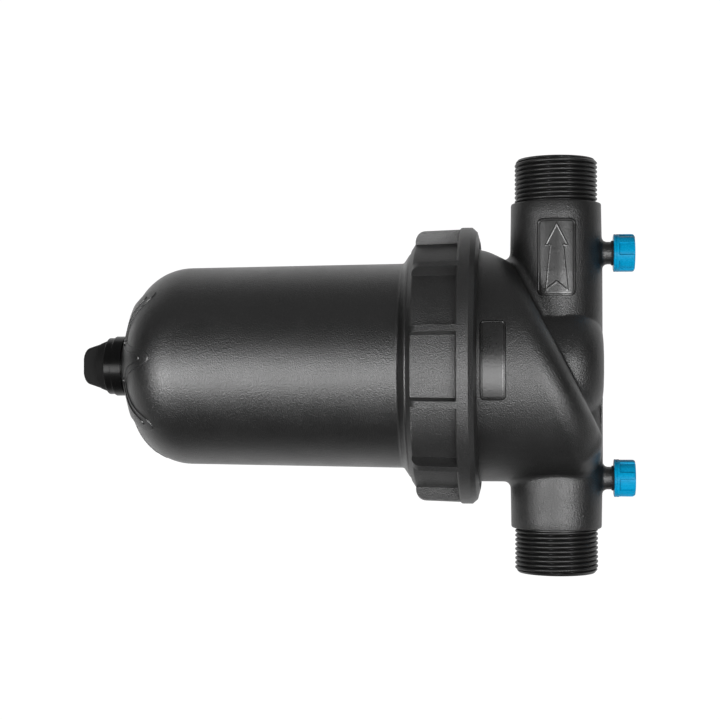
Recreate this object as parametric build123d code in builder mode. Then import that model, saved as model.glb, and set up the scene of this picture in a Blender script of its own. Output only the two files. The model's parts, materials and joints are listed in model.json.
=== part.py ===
"""Irrigation disc filter, 1 1/4 inch, T pattern with side ports and a ring nut.

Millimetres. The origin is the centre of the inlet pipe's threaded end face, +Z runs up the
pipe to the outlet, and the filter's main axis crosses the pipe half way up, with the
canister towards -X and the two test ports towards +X.
"""

import os

from build123d import *
from math import cos, pi, radians, sin, tan

# Pipe branch, with G 1 1/4 male ends
face_to_face = 210.0
pipe_thread_r = 20.955
pipe_thread_length = 22.5
pipe_bore_r = 17.0
pipe_bore_lead = 0.8
sleeve_r = 22.9
sleeve_root_r = 23.5
sleeve_taper_length = 36.0
sleeve_edge = 1.0
inner_pipe_wall = 3.5

# Hopper: the round chamber round the main axis, cut off by a slanted ridge
hopper_r = 59.2
hopper_wall = 4.4
hopper_face_x = -38.0
hopper_end_x = 22.2
ridge_cross_x = 4.1
ridge_slope_deg = 62.6
ridge_round = 14.0
ridge_top_depth = 5.05
ridge_top_slope_deg = 31.0

# Elbow that carries clean water from the cartridge socket to the outlet pipe
elbow_r = 33.5
elbow_wall = 5.0
elbow_end_x = 23.6
elbow_round = 20.0
pipe_root_round = 3.5
elbow_root_round = 2.0
web_half_width = 8.0
web_foot = 2.5
web_overlap = 3.0
web_recess = 0.8
web_margin = 0.6

# Socket that takes the cartridge's spigot
socket_r = 21.0
socket_wall = 3.5
socket_mouth_x = -36.0

# Test ports with G 1/8 nipples
port_offset = 57.2
port_neck_r = 5.75
port_neck_end_x = 27.8
port_root_round = 2.5
port_thread_r = 4.864
port_thread_pitch = 0.907
port_turns = 6
port_bore_r = 2.0

# Neck thread and ring nut
neck_lead = 3.0
neck_step = 2.3
nut_thread_pitch = 6.0
nut_turns = 4
nut_clearance = 0.3
nut_wall = 2.4
nut_lip = 2.2
nut_lip_rise = 1.3
nut_cone = 2.4
nut_cone_drop = 0.6
nut_cone_round = 1.0
collar_height = 6.4
collar_length = 10.0
collar_front_round = 1.5
collar_slope_length = 3.8
collar_slope_drop = 2.2
collar_rim_length = 1.3
collar_rim = 0.4
collar_wall = 7.4
collar_recess = 4.5
nut_back_gap = 0.5
rib_count = 12
rib_width = 3.4
rib_height = 6.3
rib_taper = 0.8
rib_round = 5.0
rib_turn_deg = 16.0

# Canister
seat_gap = 0.3
nose_length = 12.0
nose_clearance = 0.3
flange_thickness = 4.0
bell_rise = 5.65
bell_length = 4.2
bell_slope = 3.8
bell_round = 3.0
lip_clearance = 0.5
bell_root_round = 2.0
nose_wall = 5.95
canister_wall = 4.0
canister_draft = 1.65
dome_slope_deg = 20.0
dome_round = 30.0
star_points = 8
star_turn_deg = 4.6
star_point_inset = 0.4
star_point_round = 2.0
star_notch_r = 23.0
star_notch_round = 1.5
star_step = 2.7
star_limit_gap = 0.1
star_tier = 0.7

# Seals and running fits
seal_gap = 0.05
main_seal_section_r = 1.6
main_seal_inset = 7.0
thrust_ring_thickness = 1.0
spigot_seal_section_r = 1.3
spigot_seal_inset = 12.0
groove_play = 0.3

# Drain plug with a G 1/2 shank
drain_thread_r = 10.48
drain_thread_pitch = 1.814
drain_turns = 7
drain_boss_r = 14.2
drain_boss_rise = 2.1
drain_boss_depth = 13.8
drain_boss_wall = 3.8
drain_seal_thickness = 1.3
drain_seal_r = 14.0
plug_head_r = 15.6
plug_head_length = 3.6
plug_skirt_r = 14.5
plug_skirt_length = 1.9
plug_step_r = 14.8
plug_step_length = 3.7
plug_ring_r = 13.7
plug_ring_tip_r = 12.0
plug_ring_length = 4.2
plug_edge_round = 0.5
plug_grip_root_r = 11.8
plug_grip_tip_r = 9.0
plug_grip_length = 8.4
plug_grip_round = 3.0
plug_grip_half_width = 6.2
thread_play = 0.05

# Blue test port caps
cap_r = 9.6
cap_length = 10.7
cap_ring = 2.7
cap_edge_round = 0.5
cap_end_round = 1.5
cap_floor_gap = 1.5
cap_panel_depth = 0.6
cap_panel_count = 6
cap_panel_deg = 38.5
cap_seal_thickness = 1.0
cap_seal_r = 6.3
outlet_cap_turn_deg = -9.5
inlet_cap_turn_deg = 20.0

# Disc cartridge
spigot_clearance = 0.3
spigot_length = 22.0
spigot_wall = 3.7
spigot_round = 1.0
base_thickness = 5.0
disc_r = 38.0
disc_inner_r = 28.0
stack_length = 137.0
bundle_count = 10
bundle_gap = 0.1
bundle_edge = 0.5
cage_play = 0.5
cage_wall = 2.5
cage_short = 2.0
window_rows = 4
window_columns = 6
window_width = 17.0
window_bar = 5.0
rod_r = 4.0
rod_thread_pitch = 1.25
hub_r = 7.5
hub_length = 8.0
spoke_count = 3
spoke_width = 3.5
rod_nut_flats = 13.0
rod_nut_length = 6.3
plate_thickness = 7.0
plate_round = 2.0
plate_skirt_length = 10.0
plate_skirt_wall = 2.5
washer_r = 9.5
washer_thickness = 1.6
knob_r = 9.0
knob_cap = 3.0
knob_end_gap = 2.7
knob_wing_r = 20.0
knob_wing_width = 4.0
knob_turns = 7

# Worked out from the sizes above: pipe, hopper and slanted ridge
axis_z = face_to_face / 2
ridge_normal = (sin(radians(ridge_slope_deg)), 0, cos(radians(ridge_slope_deg)))
ridge_run = 1 / tan(radians(ridge_slope_deg))
ridge_top_x = ridge_cross_x - hopper_r * ridge_run
elbow_start_x = ridge_cross_x - elbow_r * ridge_run - 1
inlet_bore_depth = axis_z - (pipe_bore_r - ridge_cross_x) / ridge_run - hopper_wall / ridge_normal[2]

# Web between the elbow and the hopper's end
web_top = -elbow_r + elbow_round - web_overlap
web_bottom = (ridge_cross_x - hopper_end_x) / ridge_run - web_foot
web_corners = [
    (elbow_end_x - web_recess / 2, web_top),
    (hopper_end_x + web_recess / 4, web_bottom),
    (ridge_cross_x, web_bottom),
    (ridge_cross_x, web_top),
]
ridge_side = [
    (ridge_cross_x + web_margin / ridge_normal[0], 0),
    (ridge_cross_x + web_margin / ridge_normal[0] + hopper_r * ridge_run, -hopper_r),
    (-hopper_r, -hopper_r),
    (-hopper_r, 0),
]

# Test ports and their caps
port_nipple_length = cap_seal_thickness + 2 * seal_gap + port_turns * port_thread_pitch
nipple_end_x = port_neck_end_x + port_nipple_length
cap_x = port_neck_end_x + cap_seal_thickness + 2 * seal_gap
panel_wedge = [
    (0, 0),
    (2 * cap_r, 2 * cap_r * tan(radians(cap_panel_deg / 2))),
    (2 * cap_r, -2 * cap_r * tan(radians(cap_panel_deg / 2))),
]

# Neck, canister flange, thrust ring and nut, from the hopper outwards
neck_length = neck_lead + nut_turns * nut_thread_pitch
neck_end_x = hopper_face_x - neck_length
neck_bore_r = hopper_r - hopper_wall
neck_thread_r = hopper_r + neck_step
nose_r = neck_bore_r - nose_clearance
bore_r = nose_r - nose_wall
canister_r = bore_r + canister_wall
bell_r = canister_r + bell_rise
flange_x = neck_end_x - seat_gap
flange_back_x = flange_x - flange_thickness
flange_r = neck_thread_r - nose_clearance
ring_x = flange_back_x - seal_gap
ring_back_x = ring_x - thrust_ring_thickness
lip_x = ring_back_x - seal_gap
lip_bore_r = bell_r + lip_clearance
nut_end_x = lip_x - nut_lip
nut_back_x = hopper_face_x - nut_back_gap
nut_bore_r = neck_thread_r + nut_clearance
panel_r = nut_bore_r + nut_wall
collar_x = nut_back_x - collar_length
collar_r = panel_r + collar_height
collar_recess_r = collar_r - collar_wall

# Cartridge, from its socket to the clamp knob
spigot_r = socket_r - spigot_clearance
base_x = socket_mouth_x - seat_gap
base_back_x = base_x - base_thickness
spigot_end_x = base_x + spigot_length
hub_face_x = base_back_x + hub_length
cage_r = disc_inner_r - cage_play
cage_length = stack_length - cage_short
skirt_r = cage_r - cage_wall - spigot_clearance
plate_x = base_back_x - stack_length - seal_gap
plate_back_x = plate_x - plate_thickness
washer_x = plate_back_x - seal_gap
washer_back_x = washer_x - washer_thickness
knob_x = washer_back_x - seal_gap
knob_travel = knob_turns * rod_thread_pitch
rod_end_x = knob_x - knob_travel
knob_length = knob_travel + seat_gap + knob_cap

# Canister: its drain tube clears the knob when that is undone, and the dome follows the tube
drain_tube_r = drain_thread_r + drain_boss_wall
drain_tube_x = knob_x - knob_length - knob_travel - knob_end_gap
drain_face_x = drain_tube_x - drain_boss_depth
shank_end_x = drain_face_x + drain_turns * drain_thread_pitch
plug_face_x = drain_face_x - drain_seal_thickness - 2 * seal_gap
plug_head_x = plug_face_x - plug_head_length
plug_step_x = plug_head_x - plug_step_length
plug_ring_x = plug_step_x - plug_ring_length
plug_end_x = plug_ring_x - plug_grip_length
cone_x = drain_face_x + drain_boss_rise
canister_far_r = canister_r - canister_draft
bore_far_r = canister_far_r - canister_wall
dome_rise = tan(radians(dome_slope_deg))
star_point_r = canister_far_r - star_point_inset
star_limit_r = canister_far_r - star_limit_gap
dome_corner_x = cone_x + (canister_far_r - drain_boss_r) * dome_rise
inner_cone_x = cone_x + canister_wall / cos(radians(dome_slope_deg))
nose_x = flange_x + nose_length

main_axis = Axis((0, 0, axis_z), (1, 0, 0))


def side_plane(height):
    """The upright plane through the pipe's axis: x along the filter, y up from the height."""
    return Plane(origin=(0, 0, height), x_dir=(1, 0, 0), z_dir=(0, -1, 0))


def cross_plane(x, height=axis_z):
    """A plane square to the main axis at x, facing +X."""
    return Plane(origin=(x, 0, height), x_dir=(0, 1, 0), z_dir=(1, 0, 0))


def ridge_plane(inset):
    """The slanted cut of the hopper, moved into the chamber by the inset."""
    origin = (ridge_cross_x - inset / ridge_normal[0], 0, axis_z)
    return Plane(origin=origin, x_dir=(0, 1, 0), z_dir=ridge_normal)


def ridge_top_plane(inset):
    """The flatter cut that takes the ridge's top corner off, moved into the chamber by the inset."""
    normal = (sin(radians(ridge_top_slope_deg)), 0, cos(radians(ridge_top_slope_deg)))
    depth = ridge_top_depth + inset
    origin = (ridge_top_x - depth * normal[0], 0, axis_z + hopper_r - depth * normal[2])
    return Plane(origin=origin, x_dir=(0, 1, 0), z_dir=normal)


def turned(corners, height=axis_z, mode=Mode.ADD):
    """Turn a closed outline of (x, radius) corners round the level axis at the height."""
    with BuildSketch(side_plane(height)) as profile:
        with BuildLine():
            Polyline(*[corner[:2] for corner in corners], close=True)
        make_face()
        for corner in corners:
            if len(corner) == 3:
                here = (corner[0], corner[1], 0)
                fillet(profile.vertices().sort_by_distance(here)[0], corner[2])
    revolve(profile.sketch, axis=Axis((0, 0, height), (1, 0, 0)), mode=mode)


def turned_upright(corners, mode=Mode.ADD):
    """Turn a closed outline of (radius, z) corners round the pipe's axis."""
    with BuildSketch(Plane.XZ) as profile:
        with BuildLine():
            Polyline(*[corner[:2] for corner in corners], close=True)
        make_face()
        for corner in corners:
            if len(corner) == 3:
                here = (corner[0], corner[1], 0)
                fillet(profile.vertices().sort_by_distance(here)[0], corner[2])
    revolve(profile.sketch, axis=Axis.Z, mode=mode)


def ring_seal(x, wall_r, section_r):
    """A round-section ring that seals against a bore of the wall radius."""
    with BuildSketch(side_plane(axis_z)) as section:
        with Locations((x, wall_r - seal_gap - section_r)):
            Circle(section_r)
    revolve(section.sketch, axis=main_axis)


def groove(x, wall_r, section_r):
    """Cut the groove that holds the seal's ring under the bore it seals against."""
    half_width = section_r + groove_play
    floor_r = wall_r - 2 * section_r - 2 * seal_gap
    turned([
        (x - half_width, floor_r),
        (x - half_width, wall_r),
        (x + half_width, wall_r),
        (x + half_width, floor_r),
    ], mode=Mode.SUBTRACT)


def finish(builder, name):
    """Name a finished piece and write it."""
    builder.part.label = name
    export_step(builder.part, f"parts/{name}.step")


os.makedirs("parts", exist_ok=True)

# The chamber inside the hopper: what the wall leaves, round the outlet pipe and the socket
with BuildPart() as chamber:
    with BuildSketch(cross_plane(neck_end_x)):
        Circle(neck_bore_r)
    extrude(amount=hopper_end_x - hopper_wall - neck_end_x)
    split(bisect_by=ridge_plane(hopper_wall), keep=Keep.BOTTOM)
    split(bisect_by=ridge_top_plane(hopper_wall), keep=Keep.BOTTOM)
    far_edges = [e for e in chamber.edges() if e.bounding_box().min.X > neck_end_x + 1]
    fillet(far_edges, ridge_round - hopper_wall)
    with BuildSketch(Plane.XY.offset(axis_z)):
        Circle(pipe_bore_r + inner_pipe_wall)
    extrude(amount=hopper_r, mode=Mode.SUBTRACT)
    with BuildSketch(cross_plane(socket_mouth_x)):
        Circle(socket_r + socket_wall)
    extrude(amount=hopper_end_x - socket_mouth_x, mode=Mode.SUBTRACT)

# Clean water's way: the elbow's inside beyond the slanted wall
with BuildPart() as elbow_inside:
    turned([
        (elbow_start_x, 0),
        (elbow_start_x, elbow_r - elbow_wall),
        (elbow_end_x - elbow_wall, elbow_r - elbow_wall, elbow_round - elbow_wall),
        (elbow_end_x - elbow_wall, 0),
    ])
    split(bisect_by=ridge_plane(0), keep=Keep.TOP)

# The hopper starts inside the neck, which leaves room for the round over its ridge
with BuildPart() as housing:
    with BuildSketch(cross_plane(neck_end_x)):
        Circle(hopper_r)
    extrude(amount=hopper_end_x - neck_end_x)
    split(bisect_by=ridge_plane(0), keep=Keep.BOTTOM)
    split(bisect_by=ridge_top_plane(0), keep=Keep.BOTTOM)
    far_edges = [e for e in housing.edges() if e.bounding_box().min.X > neck_end_x + 1]
    fillet(far_edges, ridge_round)

    # Upright pipe with its sleeves, rounded into the hopper
    turned_upright([
        (0, 0),
        (pipe_thread_r, 0),
        (pipe_thread_r, pipe_thread_length),
        (sleeve_r - sleeve_edge, pipe_thread_length),
        (sleeve_r - 0.3 * sleeve_edge, pipe_thread_length + 0.3 * sleeve_edge),
        (sleeve_r, pipe_thread_length + sleeve_edge),
        (sleeve_root_r, pipe_thread_length + sleeve_taper_length),
        (sleeve_root_r, face_to_face - pipe_thread_length - sleeve_taper_length),
        (sleeve_r, face_to_face - pipe_thread_length - sleeve_edge),
        (sleeve_r - 0.3 * sleeve_edge, face_to_face - pipe_thread_length - 0.3 * sleeve_edge),
        (sleeve_r - sleeve_edge, face_to_face - pipe_thread_length),
        (pipe_thread_r, face_to_face - pipe_thread_length),
        (pipe_thread_r, face_to_face),
        (0, face_to_face),
    ])
    fillet(housing.edges(Select.NEW), pipe_root_round)

    # Elbow bulge over the ridge
    turned([
        (elbow_start_x, 0),
        (elbow_start_x, elbow_r),
        (elbow_end_x, elbow_r, elbow_round),
        (elbow_end_x, 0),
    ])
    fillet(housing.edges(Select.NEW), elbow_root_round)

    # Neck that carries the ring nut's thread
    with BuildSketch(cross_plane(neck_end_x)):
        Circle(neck_thread_r)
    extrude(amount=neck_length)

    # Nipples for the test ports
    for port_z in (axis_z + port_offset, axis_z - port_offset):
        with BuildSketch(cross_plane(0, port_z)):
            Circle(port_neck_r)
        extrude(amount=port_neck_end_x)
        fillet(housing.edges(Select.NEW), port_root_round)
        with BuildSketch(cross_plane(port_neck_end_x, port_z)):
            Circle(port_thread_r)
        extrude(amount=port_nipple_length)

    # Web in the notch between the elbow and the hopper's end, sunk on both faces
    with BuildSketch(side_plane(axis_z)):
        with BuildLine():
            Polyline(*web_corners, close=True)
        make_face()
    extrude(amount=web_half_width, both=True)
    for face_side in (1, -1):
        with BuildSketch(side_plane(axis_z).offset(face_side * web_half_width)):
            with BuildLine():
                Polyline(*web_corners, close=True)
            make_face()
            offset(amount=-web_margin)
            with Locations((elbow_end_x - elbow_round, elbow_round - elbow_r)):
                Circle(elbow_round, mode=Mode.SUBTRACT)
            with BuildLine():
                Polyline(*ridge_side, close=True)
            make_face(mode=Mode.SUBTRACT)
        extrude(amount=-face_side * web_recess, mode=Mode.SUBTRACT)

    # Hollow inside
    add(chamber.part, mode=Mode.SUBTRACT)
    add(elbow_inside.part, mode=Mode.SUBTRACT)
    with BuildSketch(cross_plane(socket_mouth_x)):
        Circle(socket_r)
    extrude(amount=-socket_mouth_x, mode=Mode.SUBTRACT)
    with BuildSketch(Plane.XY.offset(axis_z)):
        Circle(pipe_bore_r)
    extrude(amount=face_to_face - axis_z, mode=Mode.SUBTRACT)
    with BuildSketch(Plane.XY):
        Circle(pipe_bore_r)
    extrude(amount=inlet_bore_depth, mode=Mode.SUBTRACT)
    for port_z in (axis_z + port_offset, axis_z - port_offset):
        with BuildSketch(cross_plane(pipe_bore_r - 3, port_z)):
            Circle(port_bore_r)
        extrude(amount=port_neck_end_x + port_nipple_length, mode=Mode.SUBTRACT)
finish(housing, "housing")

# Ring nut: one rib drawn flat, then set round the nut
with BuildPart() as rib:
    with BuildSketch(Plane.XZ) as rib_side:
        with BuildLine():
            Polyline(
                (nut_bore_r + 1, lip_x),
                (panel_r + rib_height - rib_taper, lip_x),
                (panel_r + rib_height, collar_x + 1),
                (nut_bore_r + 1, collar_x + 1),
                close=True,
            )
        make_face()
        front_corner = rib_side.vertices().sort_by_distance((panel_r + rib_height, lip_x, 0))[0]
        fillet(front_corner, rib_round)
    extrude(amount=rib_width / 2, both=True)

with BuildPart(cross_plane(0)) as ring_nut:
    turned([
        (nut_end_x, lip_bore_r),
        (nut_end_x, lip_bore_r + nut_lip_rise),
        (nut_end_x + nut_cone, panel_r - nut_cone_drop, nut_cone_round),
        (collar_x, panel_r),
        (collar_x, collar_r, collar_front_round),
        (nut_back_x - collar_slope_length, collar_r),
        (nut_back_x - collar_rim_length, collar_r - collar_slope_drop),
        (nut_back_x, collar_recess_r + collar_rim),
        (nut_back_x, collar_recess_r),
        (nut_back_x - collar_recess, nut_bore_r),
        (lip_x, nut_bore_r),
        (lip_x, lip_bore_r),
    ])
    with PolarLocations(0, rib_count, rib_turn_deg):
        add(rib.part)
finish(ring_nut, "ring_nut")

with BuildPart() as thrust_ring:
    turned([
        (ring_x, lip_bore_r),
        (ring_x, neck_thread_r),
        (ring_back_x, neck_thread_r),
        (ring_back_x, lip_bore_r),
    ])
finish(thrust_ring, "thrust_ring")

# Canister: the outside as a solid, then the star, then the hollow
def canister_body(shift):
    """The canister's outside as a solid, moved towards its far end by the shift."""
    turned([
        (nose_x, 0),
        (nose_x, nose_r),
        (flange_x, nose_r),
        (flange_x, flange_r),
        (flange_back_x, flange_r),
        (flange_back_x, bell_r),
        (flange_back_x - bell_length - shift, bell_r, bell_round),
        (flange_back_x - bell_length - bell_slope - shift, canister_r, bell_root_round),
        (dome_corner_x - shift, canister_far_r, dome_round),
        (cone_x - shift, drain_boss_r),
        (cone_x - shift, 0),
    ])


def star_corner(index):
    """The star's outline corner: points and notches take turns."""
    radius = star_notch_r if index % 2 else star_point_r
    angle = radians(180 - star_turn_deg + index * 180 / star_points)
    return (radius * cos(angle), radius * sin(angle))


with BuildSketch(cross_plane(cone_x - 2 * star_tier)) as star:
    with BuildLine():
        Polyline(*[star_corner(i) for i in range(2 * star_points)], close=True)
    make_face()
    fillet(star.vertices().group_by(SortBy.DISTANCE)[-1], star_point_round)
    fillet(star.vertices().group_by(SortBy.DISTANCE)[0], star_notch_round)

with BuildPart() as star_top:
    canister_body(2 * star_tier)
    extrude(star.sketch, amount=2 * dome_round, mode=Mode.INTERSECT)

with BuildPart() as star_base:
    canister_body(star_tier)
    with BuildSketch(cross_plane(cone_x - star_tier)) as wide_star:
        add(star.sketch_local)
        offset(amount=star_step)
        Circle(star_limit_r, mode=Mode.INTERSECT)
    extrude(amount=2 * dome_round, mode=Mode.INTERSECT)

with BuildPart() as canister:
    canister_body(0)
    add(star_base.part)
    add(star_top.part)
    with BuildSketch(cross_plane(drain_face_x)):
        Circle(drain_boss_r)
    extrude(amount=drain_boss_depth)
    turned([
        (nose_x, 0),
        (nose_x, bore_r),
        (inner_cone_x + (bore_far_r - drain_boss_r) * dome_rise, bore_far_r, dome_round - canister_wall),
        (inner_cone_x + (drain_tube_r - drain_boss_r) * dome_rise, drain_tube_r),
        (drain_tube_x, drain_tube_r),
        (drain_tube_x, 0),
    ], mode=Mode.SUBTRACT)
    with BuildSketch(cross_plane(drain_face_x)):
        Circle(drain_thread_r)
    extrude(amount=drain_boss_depth, mode=Mode.SUBTRACT)
    groove(flange_x + main_seal_inset, neck_bore_r, main_seal_section_r)
finish(canister, "canister")

with BuildPart() as main_seal:
    ring_seal(flange_x + main_seal_inset, neck_bore_r, main_seal_section_r)
finish(main_seal, "main_seal")

# Drain plug: a stepped head that hides its seal, and a wedge grip with two flats
with BuildPart() as drain_seal:
    turned([
        (drain_face_x - seal_gap, drain_thread_r + 8 * seal_gap),
        (drain_face_x - seal_gap, drain_seal_r),
        (plug_face_x + seal_gap, drain_seal_r),
        (plug_face_x + seal_gap, drain_thread_r + 8 * seal_gap),
    ])
finish(drain_seal, "drain_seal")

with BuildPart() as drain_plug:
    turned([
        (shank_end_x, 0),
        (shank_end_x, drain_thread_r - thread_play),
        (plug_face_x, drain_thread_r - thread_play),
        (plug_face_x, plug_skirt_r),
        (plug_face_x + plug_skirt_length, plug_skirt_r),
        (plug_face_x + plug_skirt_length, plug_head_r),
        (plug_head_x, plug_head_r, plug_edge_round),
        (plug_head_x, plug_step_r),
        (plug_step_x, plug_step_r, plug_edge_round),
        (plug_step_x, plug_ring_r),
        (plug_ring_x, plug_ring_tip_r),
        (plug_ring_x, plug_grip_root_r),
        (plug_end_x, plug_grip_tip_r, plug_grip_round),
        (plug_end_x, 0),
    ])
    with BuildSketch(cross_plane(plug_ring_x)):
        Rectangle(2 * plug_head_r, 2 * plug_head_r)
        Rectangle(2 * plug_grip_half_width, 2 * plug_head_r, mode=Mode.SUBTRACT)
    extrude(amount=-plug_grip_length, mode=Mode.SUBTRACT)
finish(drain_plug, "drain_plug")

# Test port caps with their flat seals
for side, port_z, turn in (
    ("outlet", axis_z + port_offset, outlet_cap_turn_deg),
    ("inlet", axis_z - port_offset, inlet_cap_turn_deg),
):
    with BuildPart() as port_seal:
        turned([
            (port_neck_end_x + seal_gap, port_thread_r + thread_play),
            (port_neck_end_x + seal_gap, cap_seal_r),
            (cap_x - seal_gap, cap_seal_r),
            (cap_x - seal_gap, port_thread_r + thread_play),
        ], height=port_z)
    finish(port_seal, f"{side}_port_seal")

    with BuildPart() as port_cap:
        turned([
            (cap_x, port_thread_r + thread_play),
            (cap_x, cap_r, cap_edge_round),
            (cap_x + cap_length, cap_r, cap_end_round),
            (cap_x + cap_length, 0),
            (nipple_end_x + cap_floor_gap, 0),
            (nipple_end_x + cap_floor_gap, port_thread_r + thread_play),
        ], height=port_z)
        with BuildSketch(cross_plane(cap_x + cap_ring, port_z)):
            with PolarLocations(0, cap_panel_count, -turn):
                with BuildLine():
                    Polyline(*panel_wedge, close=True)
                make_face()
            Circle(2 * cap_r, mode=Mode.INTERSECT)
            Circle(cap_r - cap_panel_depth, mode=Mode.SUBTRACT)
        extrude(amount=cap_length, mode=Mode.SUBTRACT)
    finish(port_cap, f"{side}_port_cap")

# Cartridge base: flange, spigot with its seal groove, and a hub on spokes for the tie rod
with BuildPart() as cartridge_base:
    turned([
        (base_back_x, spigot_r - spigot_wall),
        (base_back_x, disc_r),
        (base_x, disc_r),
        (base_x, spigot_r),
        (spigot_end_x, spigot_r, spigot_round),
        (spigot_end_x, spigot_r - spigot_wall),
    ])
    groove(base_x + spigot_seal_inset, socket_r, spigot_seal_section_r)
    with BuildSketch(cross_plane(base_back_x)):
        with PolarLocations(spigot_r / 2, spoke_count, 90):
            Rectangle(spigot_r - spigot_wall / 2, spoke_width)
    extrude(amount=base_thickness)
    with BuildSketch(cross_plane(base_back_x)):
        Circle(hub_r)
    extrude(amount=hub_length)
    with BuildSketch(cross_plane(base_back_x)):
        Circle(rod_r + thread_play)
    extrude(amount=hub_length, mode=Mode.SUBTRACT)
finish(cartridge_base, "cartridge_base")

with BuildPart() as spigot_seal:
    ring_seal(base_x + spigot_seal_inset, socket_r, spigot_seal_section_r)
finish(spigot_seal, "spigot_seal")

# Cage that the discs are threaded on, with windows for the clean water
with BuildPart() as disc_cage:
    with BuildSketch(cross_plane(base_back_x)):
        Circle(cage_r)
        Circle(cage_r - cage_wall, mode=Mode.SUBTRACT)
    extrude(amount=-cage_length)
    for column in range(window_columns // 2):
        window_plane = Plane(
            origin=(base_back_x - cage_length / 2, 0, axis_z),
            x_dir=(1, 0, 0),
            z_dir=(0, cos(pi * 2 * column / window_columns), sin(pi * 2 * column / window_columns)),
        )
        with BuildSketch(window_plane):
            with GridLocations(cage_length / window_rows, 0, window_rows, 1):
                Rectangle(cage_length / window_rows - window_bar, window_width)
        extrude(amount=cage_r, both=True, mode=Mode.SUBTRACT)
finish(disc_cage, "disc_cage")

# Grooved ring discs, drawn as bundles
with BuildPart() as disc_stack:
    bundle_pitch = stack_length / bundle_count
    for index in range(bundle_count):
        start_x = base_back_x - index * bundle_pitch
        stop_x = start_x - bundle_pitch + bundle_gap
        turned([
            (start_x, disc_inner_r),
            (start_x, disc_r - bundle_edge),
            (start_x - bundle_edge, disc_r),
            (stop_x + bundle_edge, disc_r),
            (stop_x, disc_r - bundle_edge),
            (stop_x, disc_inner_r),
        ])
finish(disc_stack, "disc_stack")

# Tie rod with its nut, pressure plate, washer and clamp knob
with BuildPart() as tie_rod:
    with BuildSketch(cross_plane(rod_end_x)):
        Circle(rod_r)
    extrude(amount=hub_face_x + rod_nut_length - rod_end_x)
finish(tie_rod, "tie_rod")

with BuildPart() as rod_nut:
    with BuildSketch(cross_plane(hub_face_x)):
        RegularPolygon(rod_nut_flats / 2, 6, major_radius=False)
        Circle(rod_r + thread_play, mode=Mode.SUBTRACT)
    extrude(amount=rod_nut_length)
finish(rod_nut, "rod_nut")

with BuildPart() as pressure_plate:
    turned([
        (plate_x + plate_skirt_length, skirt_r - plate_skirt_wall),
        (plate_x + plate_skirt_length, skirt_r),
        (plate_x, skirt_r),
        (plate_x, disc_r),
        (plate_back_x, disc_r, plate_round),
        (plate_back_x, rod_r + 3 * thread_play),
        (plate_x, rod_r + 3 * thread_play),
        (plate_x, skirt_r - plate_skirt_wall),
    ])
finish(pressure_plate, "pressure_plate")

with BuildPart() as clamp_washer:
    turned([
        (washer_x, rod_r + 3 * thread_play),
        (washer_x, washer_r),
        (washer_back_x, washer_r),
        (washer_back_x, rod_r + 3 * thread_play),
    ])
finish(clamp_washer, "clamp_washer")

with BuildPart() as clamp_knob:
    with BuildSketch(cross_plane(knob_x)):
        Circle(knob_r)
        SlotOverall(2 * knob_wing_r, knob_wing_width)
    extrude(amount=-knob_length)
    with BuildSketch(cross_plane(knob_x)):
        Circle(rod_r + thread_play)
    extrude(amount=knob_cap - knob_length, mode=Mode.SUBTRACT)
finish(clamp_knob, "clamp_knob")
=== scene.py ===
# %% [markdown]
# # Irrigation disc filter: the looks
#
# The solid parts come from the CAD model. This lesson dresses them: it adds what is too fine
# for the solids (screw threads, two plates, the caps' panels, the single filter discs), gives
# every surface its plastic, rubber or steel, and sets up a plain photo studio.
#
# Everything is in metres. The pipe runs up along Z, and the filter's own axis runs along X at
# the height of 0.105, with the canister towards -X.

import json

import bpy
import numpy as np
from mathutils import Matrix, Vector


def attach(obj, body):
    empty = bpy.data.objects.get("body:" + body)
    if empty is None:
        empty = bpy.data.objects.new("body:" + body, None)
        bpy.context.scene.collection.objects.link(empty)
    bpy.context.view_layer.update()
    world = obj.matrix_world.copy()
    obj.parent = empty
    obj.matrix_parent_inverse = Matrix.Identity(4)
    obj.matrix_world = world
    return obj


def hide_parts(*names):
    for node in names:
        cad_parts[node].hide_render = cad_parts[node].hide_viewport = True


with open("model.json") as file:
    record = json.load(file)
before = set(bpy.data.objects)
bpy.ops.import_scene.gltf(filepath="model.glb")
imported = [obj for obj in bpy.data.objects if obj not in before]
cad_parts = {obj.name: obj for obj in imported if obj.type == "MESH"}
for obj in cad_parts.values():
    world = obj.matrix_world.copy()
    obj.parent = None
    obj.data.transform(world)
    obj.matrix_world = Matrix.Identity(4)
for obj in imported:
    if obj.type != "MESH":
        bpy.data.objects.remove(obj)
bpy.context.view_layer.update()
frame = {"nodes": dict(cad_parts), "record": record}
nodes = frame["nodes"]
mm = 0.001
axis_z = 0.105
print("pieces from the CAD model:", len(nodes))

# %% [markdown]
# ## The camera
#
# The photograph was taken with a long lens, a little from the right of the filter and from
# just below its axis. A camera could be placed by eye, but here its place is worked out: a
# chosen point of the object, where the pipe's axis crosses the filter's, has to land on a
# chosen spot of the picture. The lens, the distance and the two small angles are values that
# were fitted to the photograph's outlines.

# %% A helper that puts a thing into the scene
def add_object(name, data):
    """Make an object of a mesh, a lamp or a camera, and link it to the scene."""
    thing = bpy.data.objects.new(name, data)
    bpy.context.scene.collection.objects.link(thing)
    return thing


# %% Place the camera
picture_px = 720
focal_px = 1530.0
crossing_px = (556.1, 365.5)
yaw, tilt = np.radians(6.3), np.radians(0.9)
depth = 0.781

look = np.array([-np.sin(yaw) * np.cos(tilt), np.cos(yaw) * np.cos(tilt), np.sin(tilt)])
side = np.array([np.cos(yaw), np.sin(yaw), 0.0])
rise = np.cross(side, look)
right_px, up_px = crossing_px[0] - picture_px / 2, picture_px / 2 - crossing_px[1]
crossing = np.array([0.0, 0.0, axis_z])
eye = crossing - (look + side * right_px / focal_px + rise * up_px / focal_px) * depth

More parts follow.
